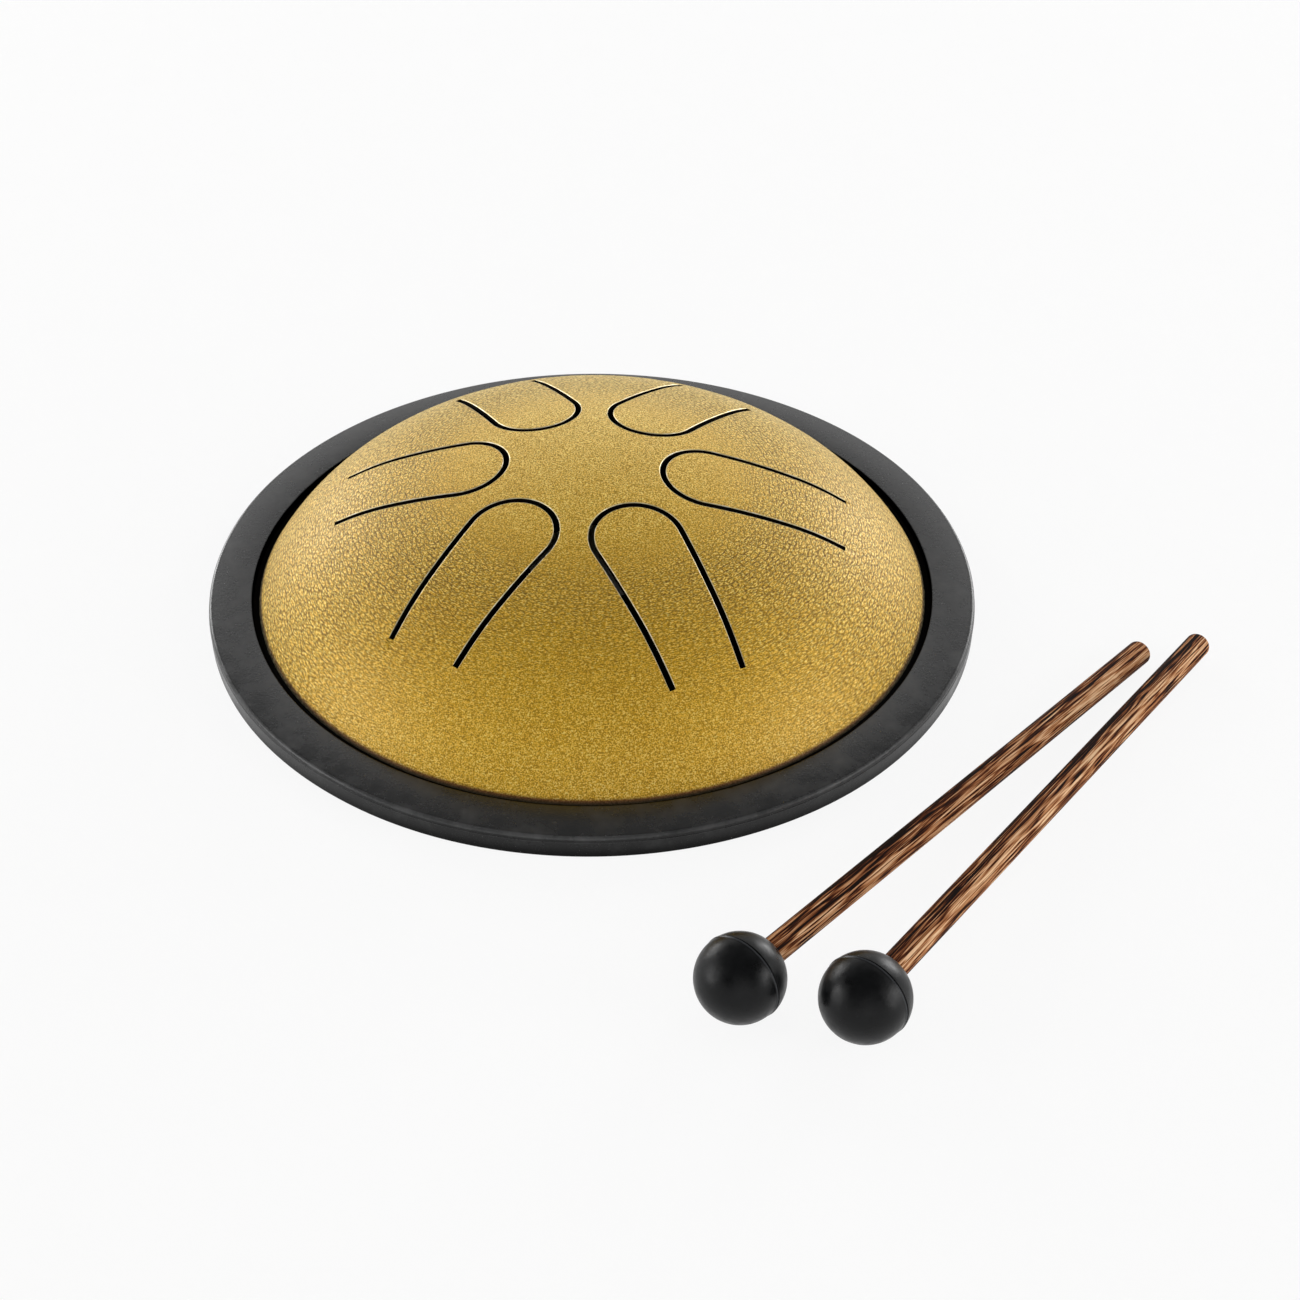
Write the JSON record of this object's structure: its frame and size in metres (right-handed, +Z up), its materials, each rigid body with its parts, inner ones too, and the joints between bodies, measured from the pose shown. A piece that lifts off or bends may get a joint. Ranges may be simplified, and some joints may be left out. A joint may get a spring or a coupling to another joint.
{
  "type": "steel tongue drum",
  "caption": "Small domed steel tongue drum resting on a flat rubber ring, with two loose rubber-headed wooden mallets beside it.",
  "frame": {"origin": "on the dome's axis, in the plane of the rubber ring's underside", "axes": "+Z up through the dome's crown, +X to the player's right, -Y towards the player and the mallets' heads"},
  "size_m": [0.2337, 0.2365, 0.0385],
  "materials": {
    "gold_paint": "satin, leather-grain",
    "black_rubber": "matte",
    "ball_rubber": "satin",
    "dark_wood": "semi-gloss, dark streaks",
    "weld_steel": "as welded"
  },
  "bodies": {
    "drum": {"top_shell": "gold_paint", "bottom_shell": "gold_paint", "seam_weld": "weld_steel", "rubber_ring": "black_rubber"},
    "tongue_right": {"tongue_right": "gold_paint"},
    "tongue_back_right": {"tongue_back_right": "gold_paint"},
    "tongue_back_left": {"tongue_back_left": "gold_paint"},
    "tongue_left": {"tongue_left": "gold_paint"},
    "tongue_front_left": {"tongue_front_left": "gold_paint"},
    "tongue_front_right": {"tongue_front_right": "gold_paint"},
    "mallet_left": {"mallet_left_handle": "dark_wood", "mallet_left_head": "ball_rubber"},
    "mallet_right": {"mallet_right_handle": "dark_wood", "mallet_right_head": "ball_rubber"}
  },
  "joints": [
    {"name": "tongue_right_flex", "type": "hinge", "parent": "drum", "child": "tongue_right", "pos_m": [0.05854, -0.00442, 0.02407], "axis": [0.0732, 0.9973, 0], "range_deg": [-0.6, 0.6], "stiffness_Nm_per_rad": 20.2},
    {"name": "tongue_back_right_flex", "type": "hinge", "parent": "drum", "child": "tongue_back_right", "pos_m": [0.02938, 0.04574, 0.02655], "axis": [-0.8271, 0.5621, 0], "range_deg": [-0.6, 0.6], "stiffness_Nm_per_rad": 25.1},
    {"name": "tongue_back_left_flex", "type": "hinge", "parent": "drum", "child": "tongue_back_left", "pos_m": [-0.02477, 0.04772, 0.02686], "axis": [-0.9003, -0.4352, 0], "range_deg": [-0.6, 0.6], "stiffness_Nm_per_rad": 26.9},
    {"name": "tongue_left_flex", "type": "hinge", "parent": "drum", "child": "tongue_left", "pos_m": [-0.05855, 0.00417, 0.02407], "axis": [-0.0732, -0.9973, 0], "range_deg": [-0.6, 0.6], "stiffness_Nm_per_rad": 22.2},
    {"name": "tongue_front_left_flex", "type": "hinge", "parent": "drum", "child": "tongue_front_left", "pos_m": [-0.03565, -0.04996, 0.02229], "axis": [0.8271, -0.5621, 0], "range_deg": [-0.6, 0.6], "stiffness_Nm_per_rad": 19.3},
    {"name": "tongue_front_right_flex", "type": "hinge", "parent": "drum", "child": "tongue_front_right", "pos_m": [0.02589, -0.05708, 0.02134], "axis": [0.9003, 0.4352, 0], "range_deg": [-0.6, 0.6], "stiffness_Nm_per_rad": 17.2},
    {"name": "mallet_left_lift", "type": "slide", "parent": "drum", "child": "mallet_left", "axis": [0, 0, 1], "range_m": [0, 0.12]},
    {"name": "mallet_right_lift", "type": "slide", "parent": "drum", "child": "mallet_right", "axis": [0, 0, 1], "range_m": [0, 0.12]}
  ]
}
